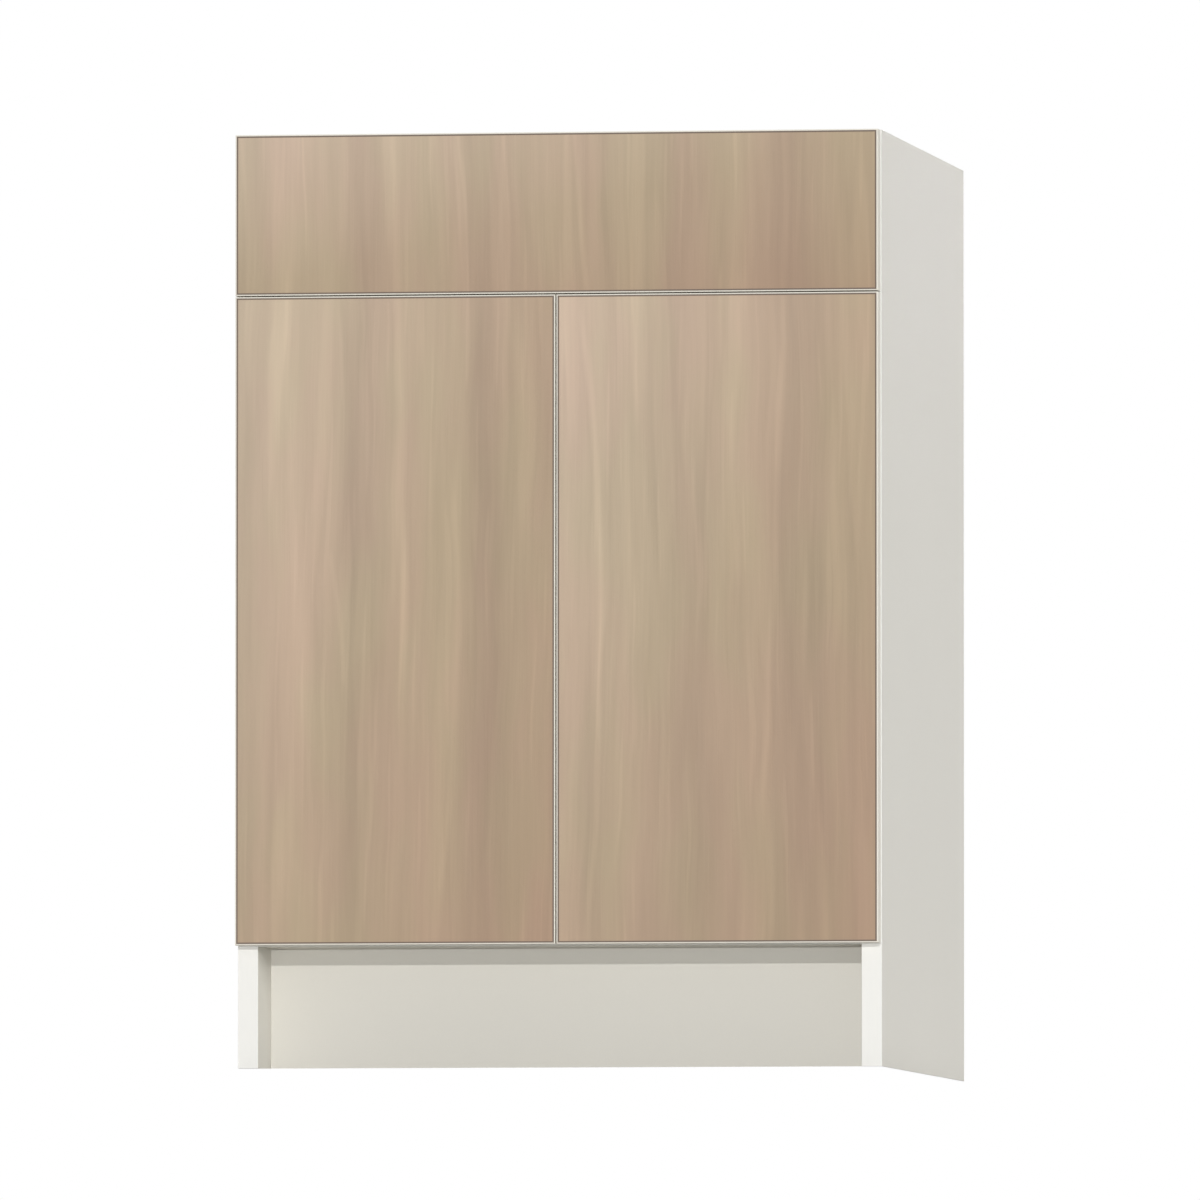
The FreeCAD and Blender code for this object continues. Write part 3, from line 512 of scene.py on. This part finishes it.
def clear_bumper():
    """Clear soft plastic with a faint haze."""
    look = Look("bumper_clear")
    haze = look.noise(*HAZE_NOISE)
    colour = look.toned(SOFT_PLASTIC, look.ranged(haze, *HAZE_RANGE))
    return look.finish(colour, look.ranged(haze, *BUMPER_ROUGHNESS), look.bump(haze, *BUMPER_BUMP),
                       Transmission_Weight=0.55, IOR=1.47)


def dress():
    """Gives every CAD node the material of its slot. In the drawer box's sides the grain runs along Y."""
    birch = {axis: wood("box_birch_" + axis.lower(), axis, BIRCH, BIRCH_DARK, BIRCH_END) for axis in "XY"}
    looks = {
        "front_band": front_band(),
        "carcass_melamine": melamine(),
        "carcass_band": carcass_band(),
        "dowel_beech": wood("dowel_beech", "X", BEECH, BIRCH_DARK, BIRCH_END),
        "bumper_clear": clear_bumper(),
    }
    for slot, recipe in METALS.items():
        looks[slot] = metal(slot, *recipe)
    slots = {part["node"]: part["material_slot"] for part in frame["record"]["subparts"]}
    for name, node in frame["nodes"].items():
        slot = slots[name]
        if slot == "box_birch":
            material = birch["Y" if name.endswith("_side") else "X"]
        elif slot == "front_decor":
            material = wood_print(name)
        else:
            material = looks[slot]
        node.data.materials.clear()
        node.data.materials.append(material)


def sun(name, share, azimuth, rise, softness):
    """A distant lamp that gives a share of full brightness to a surface square to its light."""
    lamp = bpy.data.lights.new(name, "SUN")
    lamp.energy = math.pi * share
    lamp.angle = math.radians(softness)
    made = bpy.data.objects.new(name, lamp)
    made.rotation_euler = (math.radians(90 - rise), 0, math.radians(azimuth))
    bpy.context.scene.collection.objects.link(made)


def low_sun(name, share, azimuth, rise, softness):
    """A distant lamp that gives a share of full brightness to an upright surface at its azimuth."""
    sun(name, share / math.cos(math.radians(rise)), azimuth, rise, softness)


def seen_directly(tree):
    """1 for rays from the camera, mirrors and glass, and 0 for the light on the object."""
    path = tree.nodes.new("ShaderNodeLightPath")
    total = path.outputs["Is Camera Ray"]
    for name in ("Is Glossy Ray", "Is Transmission Ray"):
        larger = tree.nodes.new("ShaderNodeMath")
        larger.operation = "MAXIMUM"
        tree.links.new(total, larger.inputs[0])
        tree.links.new(path.outputs[name], larger.inputs[1])
        total = larger.outputs[0]
    return total


def surroundings():
    """White surroundings that light the object more softly than they are seen."""
    world = bpy.data.worlds.new("surroundings")
    bpy.context.scene.world = world
    world.use_nodes = True
    shade = world.node_tree.nodes["Background"]
    shade.inputs["Color"].default_value = WHITE
    strength = world.node_tree.nodes.new("ShaderNodeMapRange")
    strength.inputs["To Min"].default_value = AMBIENT_SHARE
    world.node_tree.links.new(seen_directly(world.node_tree), strength.inputs["Value"])
    world.node_tree.links.new(strength.outputs["Result"], shade.inputs["Strength"])


def light():
    """The lamps and the white surroundings."""
    low_sun("key_light", KEY_SHARE, FRONT_AZIMUTH, KEY_RISE, KEY_SOFTNESS)
    low_sun("front_fill", FRONT_FILL_SHARE, FRONT_AZIMUTH, FRONT_FILL_RISE, FRONT_FILL_SOFTNESS)
    low_sun("right_light", SIDE_SHARE, RIGHT_AZIMUTH, RIGHT_RISE, SIDE_SOFTNESS)
    low_sun("back_light", SIDE_SHARE, BACK_AZIMUTH, SIDE_RISE, SIDE_SOFTNESS)
    low_sun("left_light", SIDE_SHARE, LEFT_AZIMUTH, SIDE_RISE, SIDE_SOFTNESS)
    sun("top_light", TOP_SHARE, 0, TOP_RISE, SIDE_SOFTNESS)
    surroundings()


def level_sheet(name, x, y, z, material):
    """A level rectangle that belongs to the stage."""
    mesh = bpy.data.meshes.new(name)
    corners = [(x[0], y[0], z), (x[1], y[0], z), (x[1], y[1], z), (x[0], y[1], z)]
    mesh.from_pydata(corners, [], [(0, 1, 2, 3)])
    mesh.materials.append(material)
    made = bpy.data.objects.new(name, mesh)
    bpy.context.scene.collection.objects.link(made)


def floor():
    """A pale floor. From below, where the camera stands, it is clear, and white under the cabinet."""
    look = Look("floor")
    specks = look.ranged(look.noise(*FLOOR_SPECK_NOISE), *FLOOR_SPECKS)
    tone = look.mix(seen_directly(look.tree), linear(FLOOR_BOUNCE), linear(FLOOR))
    look.finish(look.shaded(tone, specks), look.ranged(specks, *FLOOR_ROUGHNESS))
    from_below = look.node("NewGeometry").outputs["Backfacing"]
    clear = look.node("BsdfTransparent")
    look.show(look.node("MixShader", ((0, from_below), (1, look.shader.outputs[0]), (2, clear.outputs[0]))))
    level_sheet("floor", (-FLOOR_REACH, FLOOR_REACH), (-FLOOR_REACH, FLOOR_REACH), 0, look.material)
    white = Look("floor_from_below")
    white.show(white.node("Emission", (("Color", WHITE), ("Strength", seen_directly(white.tree)))))
    low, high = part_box("left_side_panel")[0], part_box("right_side_panel")[1]
    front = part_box("carcass_edge_bands")[0].y
    level_sheet("floor_from_below", (low.x, high.x), (front, high.y), -FLOOR_THICKNESS, white.material)


def camera():
    """A long lens from the right and a little below, as in the photograph."""
    data = bpy.data.cameras.new("camera")
    data.lens = LENS
    data.clip_end = CLIP_END
    made = bpy.data.objects.new("camera", data)
    bpy.context.scene.collection.objects.link(made)
    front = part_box("carcass_edge_bands")[0].y
    aim = Vector((AIM_RIGHT, front, AIM_UP))
    turn, rise = math.radians(AZIMUTH), math.radians(ELEVATION)
    out = Vector((math.sin(turn) * math.cos(rise), -math.cos(turn) * math.cos(rise), math.sin(rise)))
    made.location = aim + out * DISTANCE
    made.rotation_euler = (-out).to_track_quat("-Z", "Y").to_euler()
    bpy.context.scene.camera = made


dress()
floor()
light()
camera()
bpy.context.scene.view_settings.view_transform = "Standard"
